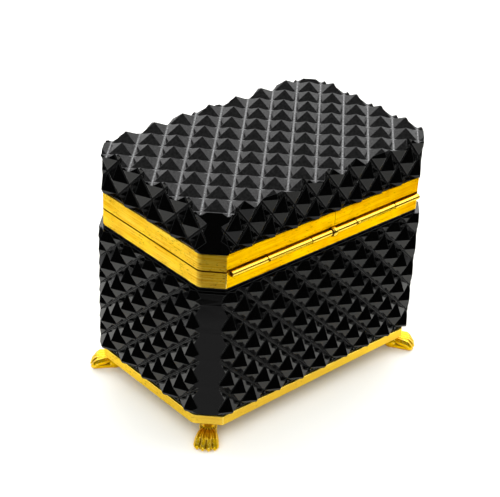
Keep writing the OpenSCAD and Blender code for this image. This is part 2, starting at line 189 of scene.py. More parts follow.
class StageSettings(bpy.types.PropertyGroup):
    """Floor, light and camera"""

    floor: FloatVectorProperty(
        name="Floor", description="Colour of the floor", subtype="COLOR", default=linear("f3f2ef")
    )
    azimuth: FloatProperty(
        name="Azimuth",
        description="Camera's turn round the casket",
        unit="ROTATION",
        default=math.radians(137.3666),
    )
    elevation: FloatProperty(
        name="Elevation",
        description="Camera's height angle",
        unit="ROTATION",
        default=math.radians(30.4407),
    )
    roll: FloatProperty(
        name="Roll",
        description="Camera's roll",
        unit="ROTATION",
        default=math.radians(-2.7825),
    )
    distance: FloatProperty(
        name="Distance",
        description="From the camera to the casket's middle",
        unit="LENGTH",
        default=0.730174,
    )
    lens: FloatProperty(name="Lens", description="Focal length in millimetres", default=98.6071)
    aim: FloatVectorProperty(
        name="Aim",
        description="Aim to the right of and below the casket's middle",
        size=2,
        unit="LENGTH",
        default=(-5.4603 * MM, -6.5477 * MM),
    )
    light_turn: FloatProperty(
        name="Light",
        description="Turn of the dark side of the light",
        unit="ROTATION",
        default=math.radians(130.5),
    )


class CasketSettings(bpy.types.PropertyGroup):
    """All settings of the casket"""

    glass: PointerProperty(type=GlassSettings)
    gilt: PointerProperty(type=GiltSettings)
    foot: PointerProperty(type=FootSettings)
    stage: PointerProperty(type=StageSettings)


def mm(x, y, z):
    """A point given in millimetres"""
    return Vector((x, y, z)) * MM


def add(tree, kind, inputs=None, **settings):
    """Adds a node, sets its settings, and sets or links its inputs"""
    node = tree.nodes.new(kind)
    for key, value in settings.items():
        setattr(node, key, value)
    for key, value in (inputs or {}).items():
        if isinstance(value, bpy.types.NodeSocket):
            tree.links.new(value, node.inputs[key])
        else:
            node.inputs[key].default_value = value
    return node


def start_material(name):
    """A new material with its tree, shader and object coordinates"""
    material = bpy.data.materials.new(name)
    material.use_nodes = True
    tree = material.node_tree
    shader = tree.nodes["Principled BSDF"]
    place = add(tree, "ShaderNodeTexCoord").outputs["Object"]
    return material, tree, shader, place


def black_glass(settings):
    """Opaque black glass, wheel cut and polished: near-black body, mirror facets with faint wheel marks,
    groove floors left matt by the wheel, those of one direction painted paler as a painted sheen, and
    greyish worn edges"""
    material, tree, shader, place = start_material("Black cut glass")
    ground_and_sheen = add(tree, "ShaderNodeAttribute", attribute_name="ground_and_sheen").outputs["Fac"]
    worn = add(tree, "ShaderNodeAttribute", attribute_name="worn").outputs["Fac"]
    # wheel marks: streaks about 0.5 mm wide and 5 mm long, coarser than real ones so that they show
    stretched = add(
        tree,
        "ShaderNodeVectorMath",
        {0: place, 1: (1 / (0.5 * MM), 1 / (0.5 * MM), 1 / (5 * MM))},
        operation="MULTIPLY",
    )
    marks = add(tree, "ShaderNodeTexNoise", {"Vector": stretched.outputs[0], "Scale": 1.0, "Detail": 3.0})
    # uneven polish in patches of about 6 mm
    patches = add(tree, "ShaderNodeTexNoise", {"Vector": place, "Scale": 1 / (6 * MM), "Detail": 3.0})
    # scuffs of about 1 mm that leave the matt floors and the handled top uneven
    scuffs = add(tree, "ShaderNodeTexNoise", {"Vector": place, "Scale": 1 / (1 * MM), "Detail": 3.0})
    uneven = add(tree, "ShaderNodeMapRange", {0: scuffs.outputs["Fac"], 1: 0.36, 2: 0.64, 3: 0.1, 4: 1.0})
    # the matt floors are worn smooth again in the same patches as the polish
    faded = add(tree, "ShaderNodeMapRange", {0: patches.outputs["Fac"], 1: 0.36, 2: 0.6, 3: 0.4, 4: 1.0})
    kept = add(tree, "ShaderNodeMath", {0: ground_and_sheen, 1: faded.outputs[0]}, operation="MULTIPLY")
    floors = add(tree, "ShaderNodeMath", {0: kept.outputs[0], 1: uneven.outputs[0]}, operation="MULTIPLY")
    matt = add(
        tree,
        "ShaderNodeMath",
        {0: worn, 1: 0.06, 2: floors.outputs[0]},
        operation="MULTIPLY_ADD",
        use_clamp=True,
    )
    body = add(
        tree,
        "ShaderNodeMix",
        {0: matt.outputs[0], 6: (*settings.colour, 1), 7: (*settings.ground_colour, 1)},
        data_type="RGBA",
    )
    tree.links.new(body.outputs[2], shader.inputs["Base Color"])
    gloss = add(
        tree,
        "ShaderNodeMapRange",
        {0: patches.outputs["Fac"], 1: 0.35, 2: 0.7, 3: settings.polish * 0.7, 4: settings.polish * 1.6},
    )
    rough = add(
        tree,
        "ShaderNodeMath",
        {0: matt.outputs[0], 1: 0.26, 2: gloss.outputs[0]},
        operation="MULTIPLY_ADD",
    )
    tree.links.new(rough.outputs[0], shader.inputs["Roughness"])
    # groove floors of the sides hardly shine, and the handled top has a haze
    dull = add(tree, "ShaderNodeAttribute", attribute_name="dull").outputs["Fac"]
    shine = add(tree, "ShaderNodeMapRange", {0: dull, 3: 0.15, 4: 0.01})
    handled = add(tree, "ShaderNodeAttribute", attribute_name="handled").outputs["Fac"]
    haze = add(tree, "ShaderNodeMapRange", {0: scuffs.outputs["Fac"], 1: 0.3, 2: 0.7, 3: -0.08, 4: 0.08})
    hazed = add(
        tree,
        "ShaderNodeMath",
        {0: handled, 1: haze.outputs[0], 2: shine.outputs[0]},
        operation="MULTIPLY_ADD",
        use_clamp=True,
    )
    tree.links.new(hazed.outputs[0], shader.inputs["Specular IOR Level"])
    bump = add(
        tree, "ShaderNodeBump", {"Strength": 0.3, "Distance": 0.03 * MM, "Height": marks.outputs["Fac"]}
    )
    tree.links.new(bump.outputs[0], shader.inputs["Normal"])
    shader.inputs["IOR"].default_value = 1.5
    return material


def gilt_bronze(name, settings, pits=0.5, brush=1.0, polish=0.0, seam=None):
    """Fire-gilt bronze, brushed along its length: saturated yellow with warmer patches, fine brush lines,
    small dark pits, rubbed places with painted highlights, and painted shade where faces are marked; a seam
    is a thin dark butt joint of the strip"""
    material, tree, shader, place = start_material(name)
    wear_and_highlight = add(tree, "ShaderNodeAttribute", attribute_name="wear_and_highlight").outputs["Fac"]
    # brush lines 0.4 mm apart and 25 mm long, coarser than real ones so that they show
    lines = add(
        tree,
        "ShaderNodeVectorMath",
        {0: place, 1: (1 / (25 * MM), 1 / (25 * MM), 1 / (0.4 * MM))},
        operation="MULTIPLY",
    )
    brushed = add(tree, "ShaderNodeTexNoise", {"Vector": lines.outputs[0], "Scale": 1.0, "Detail": 2.0})
    # warmer patches of about 14 mm
    tone = add(tree, "ShaderNodeTexNoise", {"Vector": place, "Scale": 1 / (14 * MM), "Detail": 4.0})
    mottled = add(
        tree,
        "ShaderNodeMath",
        {0: brushed.outputs["Fac"], 1: brush, 2: tone.outputs["Fac"]},
        operation="MULTIPLY_ADD",
    )
    warm = add(
        tree,
        "ShaderNodeMapRange",
        {0: mottled.outputs[0], 1: 0.35 + 0.5 * brush, 2: 0.72 + 0.5 * brush},
    )
    colour = add(
        tree,
        "ShaderNodeMix",
        {0: warm.outputs[0], 6: (*settings.colour, 1), 7: (*settings.deep, 1)},
        data_type="RGBA",
    )
    # pits about 1.6 by 0.7 mm, in clusters of about 12 mm, more of them on the two ends
    drawn = add(
        tree,
        "ShaderNodeVectorMath",
        {0: place, 1: (1 / (1.6 * MM), 1 / (1.6 * MM), 1 / (0.7 * MM))},
        operation="MULTIPLY",
    )
    spots = add(tree, "ShaderNodeTexNoise", {"Vector": drawn.outputs[0], "Scale": 1.0, "Detail": 1.0})
    cluster = add(tree, "ShaderNodeTexNoise", {"Vector": place, "Scale": 1 / (12 * MM), "Detail": 2.0})
    facing = add(tree, "ShaderNodeSeparateXYZ", {0: add(tree, "ShaderNodeNewGeometry").outputs["Normal"]})
    ends = add(tree, "ShaderNodeMath", {0: facing.outputs["X"]}, operation="ABSOLUTE")
    more = add(
        tree,
        "ShaderNodeMath",
        {0: ends.outputs[0], 1: 0.16, 2: cluster.outputs["Fac"]},
        operation="MULTIPLY_ADD",
    )
    dots = add(
        tree,
        "ShaderNodeMath",
        {0: more.outputs[0], 1: 0.35, 2: spots.outputs["Fac"]},
        operation="MULTIPLY_ADD",
    )
    pitted = add(tree, "ShaderNodeMapRange", {0: dots.outputs[0], 1: 0.86, 2: 0.93, 3: 0.0, 4: pits})
    # marked faces are painted dark: painted shade in the gaps and under the lid's points, and a brown tone
    # on the base
    grime_and_shade = add(tree, "ShaderNodeAttribute", attribute_name="grime_and_shade").outputs["Fac"]
    dark = add(tree, "ShaderNodeMath", {0: pitted.outputs[0], 1: grime_and_shade}, operation="MAXIMUM").outputs[0]
    if seam is not None:
        # the joint is 0.28 mm wide and shows on the hinged side only
        along = add(tree, "ShaderNodeSeparateXYZ", {0: place})
        off = add(
            tree,
            "ShaderNodeMath",
            {0: along.outputs["X"], 1: seam, 2: 0.14 * MM},
            operation="COMPARE",
        )
        back = add(tree, "ShaderNodeMath", {0: facing.outputs["Y"], 1: 0.6}, operation="GREATER_THAN")
        joint = add(tree, "ShaderNodeMath", {0: off.outputs[0], 1: back.outputs[0]}, operation="MULTIPLY")
        dark = add(tree, "ShaderNodeMath", {0: joint.outputs[0], 1: dark}, operation="MAXIMUM").outputs[0]
    # the two ends are rubbed pale along the brush lines
    streaks = add(tree, "ShaderNodeMapRange", {0: brushed.outputs["Fac"], 1: 0.38, 2: 0.6, 3: 0.7, 4: 0.1})
    handled = add(tree, "ShaderNodeMath", {0: ends.outputs[0], 1: streaks.outputs[0]}, operation="MULTIPLY")
    # marked faces are painted pale: rubbed gilding, and on the band edges a painted highlight
    light = add(
        tree,
        "ShaderNodeMath",
        {0: handled.outputs[0], 1: wear_and_highlight},
        operation="MAXIMUM",
        use_clamp=True,
    )
    pale_and_highlight_mix = add(
        tree,
        "ShaderNodeMix",
        {0: light.outputs[0], 6: colour.outputs[2], 7: (*settings.pale, 1)},
        data_type="RGBA",
    )
    stained_and_shaded = add(
        tree,
        "ShaderNodeMix",
        {0: dark, 6: pale_and_highlight_mix.outputs[2], 7: (*settings.worn, 1)},
        data_type="RGBA",
    )
    tree.links.new(stained_and_shaded.outputs[2], shader.inputs["Base Color"])
    sheen = add(
        tree,
        "ShaderNodeMapRange",
        {0: brushed.outputs["Fac"], 1: 0.3, 2: 0.7, 3: 0.36 - polish, 4: 0.36 - polish + 0.12 * brush},
    )
    pitted_sheen = add(
        tree,
        "ShaderNodeMath",
        {0: dark, 1: 0.25, 2: sheen.outputs[0]},
        operation="MULTIPLY_ADD",
    )
    rough = add(
        tree,
        "ShaderNodeMath",
        {0: wear_and_highlight, 1: -0.16, 2: pitted_sheen.outputs[0]},
        operation="MULTIPLY_ADD",
    )
    tree.links.new(rough.outputs[0], shader.inputs["Roughness"])
    shader.inputs["Specular Tint"].default_value = (1, 0.86, 0.3, 1)
    relief = add(
        tree,
        "ShaderNodeMath",
        {0: dark, 1: -1.5, 2: brushed.outputs["Fac"]},
        operation="MULTIPLY_ADD",
    )
    bump = add(
        tree,
        "ShaderNodeBump",
        {"Strength": 0.35 * brush, "Distance": 0.03 * MM, "Height": relief.outputs[0]},
    )
    tree.links.new(bump.outputs[0], shader.inputs["Normal"])
    shader.inputs["Metallic"].default_value = 1.0
    return material


def cast_gilt(settings):
    """Cast and chased bronze under the same gilding: a painted highlight on the ridges, painted shade in
    the hollows, and finely pitted"""
    material, tree, shader, place = start_material("Cast gilt bronze")
    # painted shade in the hollows and a painted highlight on the crests, read from how sharply the surface
    # bends
    curve = add(tree, "ShaderNodeNewGeometry").outputs["Pointiness"]
    hollow_shade = add(tree, "ShaderNodeMapRange", {0: curve, 1: 0.506, 2: 0.468})
    crest_highlight = add(tree, "ShaderNodeMapRange", {0: curve, 1: 0.508, 2: 0.545})
    bright = add(
        tree,
        "ShaderNodeMix",
        {0: crest_highlight.outputs[0], 6: (*settings.colour, 1), 7: (*settings.pale, 1)},
        data_type="RGBA",
    )
    shade = add(
        tree,
        "ShaderNodeMix",
        {0: hollow_shade.outputs[0], 6: bright.outputs[2], 7: (*settings.worn, 1)},
        data_type="RGBA",
    )
    tree.links.new(shade.outputs[2], shader.inputs["Base Color"])
    # casting grain of about 0.5 mm
    grain = add(tree, "ShaderNodeTexNoise", {"Vector": place, "Scale": 1 / (0.5 * MM), "Detail": 3.0})
    rough = add(tree, "ShaderNodeMapRange", {0: grain.outputs["Fac"], 1: 0.3, 2: 0.7, 3: 0.28, 4: 0.48})
    tree.links.new(rough.outputs[0], shader.inputs["Roughness"])
    bump = add(
        tree,
        "ShaderNodeBump",
        {"Strength": 0.4, "Distance": 0.08 * MM, "Height": grain.outputs["Fac"]},
    )
    tree.links.new(bump.outputs[0], shader.inputs["Normal"])
    shader.inputs["Metallic"].default_value = 1.0
    return material


def dull_metal(name, bright, dull, rough):
    """Unpolished metal of hidden fittings: file marks and dull patches"""
    material, tree, shader, place = start_material(name)
    # file marks of about 0.4 mm and tarnish of about 4 mm
    marks = add(tree, "ShaderNodeTexNoise", {"Vector": place, "Scale": 1 / (0.4 * MM), "Detail": 2.0})
    tarnish = add(tree, "ShaderNodeTexNoise", {"Vector": place, "Scale": 1 / (4 * MM), "Detail": 4.0})
    mixed = add(
        tree,
        "ShaderNodeMix",
        {0: tarnish.outputs["Fac"], 6: (*linear(bright), 1), 7: (*linear(dull), 1)},
        data_type="RGBA",
    )
    tree.links.new(mixed.outputs[2], shader.inputs["Base Color"])
    gloss = add(tree, "ShaderNodeMapRange", {0: marks.outputs["Fac"], 3: rough * 0.7, 4: rough * 1.3})
    tree.links.new(gloss.outputs[0], shader.inputs["Roughness"])
    bump = add(
        tree,
        "ShaderNodeBump",
        {"Strength": 0.3, "Distance": 0.03 * MM, "Height": marks.outputs["Fac"]},
    )
    tree.links.new(bump.outputs[0], shader.inputs["Normal"])
    shader.inputs["Metallic"].default_value = 1.0
    return material


def dry_plaster():
    """Old plaster in the joints: chalky, off-white, crumbly at about 1 mm"""
    material, tree, shader, place = start_material("Dry plaster")
    crumbs = add(tree, "ShaderNodeTexNoise", {"Vector": place, "Scale": 1 / (1 * MM), "Detail": 5.0})
    mixed = add(
        tree,
        "ShaderNodeMix",
        {0: crumbs.outputs["Fac"], 6: (*linear("d9d2c2"), 1), 7: (*linear("a89f8c"), 1)},
        data_type="RGBA",
    )
    tree.links.new(mixed.outputs[2], shader.inputs["Base Color"])
    bump = add(
        tree,
        "ShaderNodeBump",
        {"Strength": 0.5, "Distance": 0.1 * MM, "Height": crumbs.outputs["Fac"]},
    )
    tree.links.new(bump.outputs[0], shader.inputs["Normal"])
    shader.inputs["Roughness"].default_value = 0.9
    return material


def merged_copy(node):
    """A CAD node's mesh as a bmesh of joined faces"""
    bm = bmesh.new()
    bm.from_mesh(frame["nodes"][node].data)
    bmesh.ops.remove_doubles(bm, verts=bm.verts, dist=0.002 * MM)
    return bm


def sharp_edges(bm, angle, shortest):
    """Edges that turn by more than the angle and are longer than the shortest"""
    return [
        edge
        for edge in bm.edges
        if len(edge.link_faces) == 2
        and edge.calc_face_angle() > math.radians(angle)
        and edge.calc_length() > shortest
    ]


def round_edges(bm, edges, width, segments):
    """Bevels edges and returns the new faces"""
    return bmesh.ops.bevel(
        bm,
        geom=edges,
        offset=width,
        offset_type="OFFSET",
        affect="EDGES",
        segments=segments,
        profile=0.5,
        clamp_overlap=False,
        material=-1,
    )["faces"]


def finish_piece(bm, name, node, material, smooth=None):
    """Makes the bmesh an object that stands for its CAD node and rides on the node's body"""
    mesh = bpy.data.meshes.new(name)
    bm.to_mesh(mesh)
    bm.free()
    if smooth is not None:
        mesh.shade_smooth()
        mesh.set_sharp_from_angle(angle=math.radians(smooth))
    piece = bpy.data.objects.new(name, mesh)
    bpy.context.scene.collection.objects.link(piece)
    mesh.materials.append(material)
    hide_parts(node)
    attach(piece, frame["nodes"][node]["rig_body"])
    return piece


def coat(material, *nodes):
    """Gives CAD nodes whose shape stays a finished material"""
    for node in nodes:
        frame["nodes"][node].data.materials.clear()
        frame["nodes"][node].data.materials.append(material)


class CASKET_OT_glass(bpy.types.Operator):
    """Cut glass of the body and the lid, with worn edges and matt grooves"""

    bl_idname = "casket.glass"
    bl_label = "Cut Glass"

    def trim(self, bm, height):
        """Cuts off the points that reach over a band's upper edge, on a slope from that edge"""
        slope = 1.1
        for side, reach in ((Vector((1, 0, 0)), RIM_X), (Vector((0, 1, 0)), RIM_Y)):
            for way in (side, -side):
                cut = bmesh.ops.bisect_plane(
                    bm,
                    geom=bm.verts[:] + bm.edges[:] + bm.faces[:],
                    dist=0.001 * MM,
                    plane_co=way * reach + Vector((0, 0, height)),
                    plane_no=(way - Vector((0, 0, slope))).normalized(),
                    clear_outer=True,
                )
                loops = [item for item in cut["geom_cut"] if isinstance(item, bmesh.types.BMEdge)]
                bmesh.ops.triangle_fill(bm, use_beauty=True, edges=loops)
        bmesh.ops.recalc_face_normals(bm, faces=bm.faces)

    def execute(self, context):
        settings = context.scene.casket.glass
        material = black_glass(settings)
        for node, name in (("body_glass", "cut_body"), ("lid_glass", "cut_lid")):
            bm = merged_copy(node)
            keys = ("ground_and_sheen", "worn", "dull", "handled")
            ground_and_sheen, worn, dull, handled = (bm.faces.layers.float.new(key) for key in keys)
            low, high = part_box(node)
            if node == "lid_glass":
                self.trim(bm, low.z)
            floors = []
            for face in bm.faces:
                normal = face.normal
                face.smooth = False
                face[handled] = 1.0 if normal.z > 0.5 else 0.0
                if normal.z > FLAT and face.calc_center_median().z > high.z - GROOVE_DEPTH:
                    longest = max(face.edges, key=lambda edge: edge.calc_length())
                    run = longest.verts[0].co - longest.verts[1].co
                    # grooves of one direction are left rougher and painted paler than those of the other, a
                    # painted sheen from how their wheel marks catch the light
                    face[ground_and_sheen] = 1.0 if run.x * run.y > 0 else 0.3
                    floors.append(face)
                face[dull] = 1.0 if max(abs(normal.x), abs(normal.y)) > FLAT else 0.0
            margins = bmesh.ops.inset_region(
                bm, faces=floors, thickness=settings.groove, use_even_offset=True
            )
            for face in margins["faces"]:
                face[ground_and_sheen] = 0.0
            # only edges longer than 2.5 mm are worn
            for face in round_edges(bm, sharp_edges(bm, 15, 2.5 * MM), settings.edge, 1):
                face[ground_and_sheen] = 0.0
                face[dull] = 0.0
                face[worn] = 1.0
            finish_piece(bm, name, node, material)
        return {"FINISHED"}


class CASKET_OT_mounts(bpy.types.Operator):
    """Gilt bands of the body's rim, the lid's rim and the base, with rounded edges and soft corner bends"""

    bl_idname = "casket.mounts"
    bl_label = "Gilt Mounts"

    # edges shorter than this belong to holes and bends
    shortest = 3 * MM

    def is_bend(self, edge, reach):
        """Whether an edge stands upright where an end turns into a corner"""
        run = edge.verts[0].co - edge.verts[1].co
        near = 0.01 * MM
        upright = abs(run.x) < near and abs(run.y) < near and run.length > self.shortest
        return upright and abs(abs(edge.verts[0].co.x) - reach) < near

    def execute(self, context):
        settings = context.scene.casket.gilt
        plain = gilt_bronze("Gilt bronze", settings)
        # the lid's strip is joined on the hinged side, near the hinge's ring
        seamed = gilt_bronze("Gilt bronze with seam", settings, seam=-4.9 * MM)
        for node, name, material in (
            ("body_rim_mount", "body_rim", plain),
            ("lid_rim_mount", "lid_rim", seamed),
            ("base_mount", "base_frame", plain),
        ):
            bm = merged_copy(node)
            bmesh.ops.dissolve_limit(bm, angle_limit=math.radians(0.3), verts=bm.verts, edges=bm.edges)
            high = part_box(node)[1]
            bends = [edge for edge in bm.edges if self.is_bend(edge, high.x)]
            round_edges(bm, bends, settings.bend, 4)
            wear_and_highlight = bm.faces.layers.float.new("wear_and_highlight")
            grime_and_shade = bm.faces.layers.float.new("grime_and_shade")
            # the base gets a paler, browner tone; the lid rim's upward faces under the glass points are
            # painted dark as painted shade
            for face in bm.faces:
                if node == "base_mount":
                    face[wear_and_highlight], face[grime_and_shade] = 0.5, 0.14
                elif node == "lid_rim_mount" and face.normal.z > 0.9:
                    face[grime_and_shade] = 1.0
            outline = [
                edge
                for edge in sharp_edges(bm, 30, 0.1 * MM)
                if edge.calc_length() > self.shortest
                or all(abs(abs(vert.co.x) - high.x) < settings.bend for vert in edge.verts)
            ]
            for face in round_edges(bm, outline, settings.edge, 2):
                face[grime_and_shade] = 0.0
                height = face.calc_center_median().z - SPLIT
                # the edges where lid and body meet are painted dark, a painted shade in the gap between
                # them, and the other edges are painted pale, rubbed gilding with a painted highlight
                if abs(height) < 0.6 * MM:
                    face[grime_and_shade] = 1.0
                elif height < 0 or abs(face.normal.x) > 0.5:
                    face[wear_and_highlight] = 1.0
            piece = finish_piece(bm, name, node, material, smooth=28)
            even = piece.modifiers.new("flat faces", "WEIGHTED_NORMAL")
            even.keep_sharp = True
        return {"FINISHED"}


class CASKET_OT_hinge(bpy.types.Operator):
    """Barrel hinge: tubes with softened ends, the turned ring and the pin inside"""

    bl_idname = "casket.hinge"
    bl_label = "Hinge"

    def is_tube_end(self, edge):
        """Whether an edge lies between a tube's flat end and its wall or bore"""
        return len({abs(face.normal.x) > 0.9 for face in edge.link_faces}) == 2

    def execute(self, context):
        settings = context.scene.casket.gilt
        bright = gilt_bronze("Gilt hinge tube", settings, pits=0.25, brush=0.4, polish=0.08)
        softened = 0.2 * MM
        open_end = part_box("hinge_knuckle_1")[1].x - 0.5 * MM
        names = {f"hinge_knuckle_{k}": f"hinge_tube_{k}" for k in range(1, 6)}
        for node, name in {**names, "hinge_bead": "hinge_ring"}.items():
            bm = merged_copy(node)
            wear_and_highlight = bm.faces.layers.float.new("wear_and_highlight")
            grime_and_shade = bm.faces.layers.float.new("grime_and_shade")
            rims = [edge for edge in bm.edges if self.is_tube_end(edge)]
            joints = set(round_edges(bm, rims, softened, 1))
            for face in bm.faces:
                centre = face.calc_center_median()
                hidden = centre.z > SPLIT and centre.y < RIM_Y
                shaded = node == "hinge_bead" and face.normal.x > 0.5
                # faces tucked behind the rim above the split, the ring's side towards +X and the tube ends
                # at the joints are painted dark, a painted shade; the other faces get the paler gilding
                if hidden or shaded or (face in joints and centre.x < open_end):
                    face[grime_and_shade] = 1.0
                else:
                    face[wear_and_highlight] = 0.6
            finish_piece(bm, name, node, bright, smooth=30)
        coat(dull_metal("Drawn brass wire", "b08a3c", "6e5524", 0.35), "hinge_pin")
        return {"FINISHED"}


class CASKET_OT_feet(bpy.types.Operator):
    """Lion-paw feet: ridged toes with claws, a ring of fur and a flared ankle, cast in one"""

    bl_idname = "casket.feet"
    bl_label = "Paw Feet"

    def rod(self, bm, start, end, first, last):
        """A tapered rod with round ends, from the first radius to the last"""
        axis = end - start
        turn = axis.to_track_quat("Z", "Y").to_matrix().to_4x4()
        place = Matrix.Translation((start + end) / 2) @ turn
        bmesh.ops.create_cone(
            bm, cap_ends=True, segments=16, radius1=first, radius2=last, depth=axis.length, matrix=place
        )
        for point, radius in ((start, first), (end, last)):
            bmesh.ops.create_icosphere(bm, subdivisions=2, radius=radius, matrix=Matrix.Translation(point))

    def ankle(self, bm, settings):
        """The flared ankle, spun from its outline, with a ring of fur tufts and the heel"""
        # outline of radius and height in millimetres, for an ankle of 3.5 and a foot of 11.1
        drawn_ankle, drawn_height = 3.5, 11.1
        outline = (
            (0, 4.6), (4.1, 4.6), (4.0, 6.3), (3.6, 7.3), (3.55, 8.4),
            (3.85, 9.5), (4.25, 10.4), (4.35, 11.1), (0, 11.1),
        )
        widen = settings.ankle / drawn_ankle
        raise_to = FOOT_TOP / drawn_height
        verts = [bm.verts.new((radius * widen, 0, height * raise_to)) for radius, height in outline]
        edges = [bm.edges.new(pair) for pair in zip(verts, verts[1:])]
        bmesh.ops.spin(
            bm, geom=verts + edges, axis=(0, 0, 1), cent=(0, 0, 0), angle=math.tau, steps=32, use_merge=True
        )
        bmesh.ops.remove_doubles(bm, verts=bm.verts, dist=0.001 * MM)
        for tuft in range(settings.tufts):
            turn = Matrix.Rotation(math.tau * tuft / settings.tufts, 3, "Z")
            self.rod(bm, turn @ mm(3.5, 0, 7.4), turn @ mm(4.15, 0, 5.9), 0.28 * MM, 0.6 * MM)
        heel = Matrix.Translation(mm(0.6, 0, 3.1)) @ Matrix.Diagonal((1.0, 1.06, 0.98, 1))
        bmesh.ops.create_uvsphere(bm, u_segments=24, v_segments=14, radius=4.4 * MM, matrix=heel)

    def toe(self, bm, settings, side):
        """A toe of three bones with two ridges, a sole and a claw; side counts toes from the middle"""
        radius = settings.toe_radius
        tip = (settings.toe_reach - radius) / MM - 0.45 * side * side
        bones = [
            (mm(1.4, 1.2 * side, 5.4), 1.5 * MM),
            (mm(tip * 0.52, 2.3 * side, 4.6), radius),
            (mm(tip * 0.84, 2.75 * side, 3.7), radius * 1.03),
            (mm(tip, 2.95 * side, radius / MM), radius),
        ]
        for (start, first), (end, last) in zip(bones, bones[1:]):
            self.rod(bm, start, end, first, last)
        knuckles = [place for place, _ in bones]
        for off in (-0.8 * MM, 0.8 * MM):
            lift = Vector((0.25 * radius, off, 0.84 * radius))
            ridge = [knuckles[0] + lift * 0.6] + [place + lift for place in knuckles[1:]]
            ridge.append(knuckles[3] + Vector((0.86 * radius, off, -0.2 * radius)))
            for start, end in zip(ridge, ridge[1:]):
                self.rod(bm, start, end, 0.45 * MM, 0.5 * MM)
        sole = 1.8
        self.rod(bm, mm(1.5, 1.6 * side, sole), mm(tip, 2.95 * side, sole), sole * MM, sole * MM)
        claw = mm(tip + 0.6 * radius / MM, 2.95 * side, 0.75)
        self.rod(bm, knuckles[3], claw, 1.0 * MM, 0.7 * MM)

    def paw(self, settings):
        """One paw round its ankle's axis, toes towards +X, standing at height zero"""
        bm = bmesh.new()
        self.ankle(bm, settings)
        for side in (-1.5, -0.5, 0.5, 1.5):
            self.toe(bm, settings, side)
        for vert in bm.verts:
            vert.co.z = min(max(vert.co.z, 0.0), FOOT_TOP)
        return bm

    def execute(self, context):
        settings = context.scene.casket.foot
        material = cast_gilt(context.scene.casket.gilt)
        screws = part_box("foot_screws")[1]
        head_radius = 2.4 * MM
        for node in ("foot_back_right", "foot_back_left", "foot_front_right", "foot_front_left"):
            low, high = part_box(node)
            side_x = 1 if high.x > -low.x else -1
            side_y = 1 if high.y > -low.y else -1
            place = (
                Matrix.Diagonal((side_x, side_y, 1, 1))
                @ Matrix.Translation((screws.x - head_radius, screws.y - head_radius, 0))
                @ Matrix.Rotation(math.radians(45), 4, "Z")
            )
            bm = self.paw(settings)
            bmesh.ops.transform(bm, matrix=place, verts=bm.verts)
            bmesh.ops.recalc_face_normals(bm, faces=bm.faces)
            piece = finish_piece(bm, node.replace("foot", "paw"), node, material, smooth=60)
            cast = piece.modifiers.new("cast in one", "REMESH")
            cast.mode = "VOXEL"
            cast.voxel_size = settings.grain
            cast.use_smooth_shade = True
            soften = piece.modifiers.new("soften", "SMOOTH")
            soften.factor = 0.5
            soften.iterations = 2
        coat(dull_metal("Plain brass", "b8924a", "7a5f2c", 0.4), "foot_screws")
        return {"FINISHED"}


class CASKET_OT_lock(bpy.types.Operator):
    """Lock behind the front rim, with its gilt keyhole plate, and the plaster beddings"""

    bl_idname = "casket.lock"
    bl_label = "Lock and Beddings"

    def execute(self, context):
        settings = context.scene.casket.gilt
        plate = merged_copy("keyhole_escutcheon")
        finish_piece(
            plate,
            "keyhole_plate",
            "keyhole_escutcheon",
            gilt_bronze("Gilt keyhole plate", settings, pits=0.4, brush=0.4),
            smooth=30,
        )
        coat(dull_metal("Filed brass", "b48e46", "715826", 0.4), "lock_case", "lock_staple")
        coat(dull_metal("Filed steel", "8d8b86", "5a5853", 0.45), "lock_bolt")
        coat(dry_plaster(), "body_rim_bedding", "lid_rim_bedding", "base_bedding")
        return {"FINISHED"}


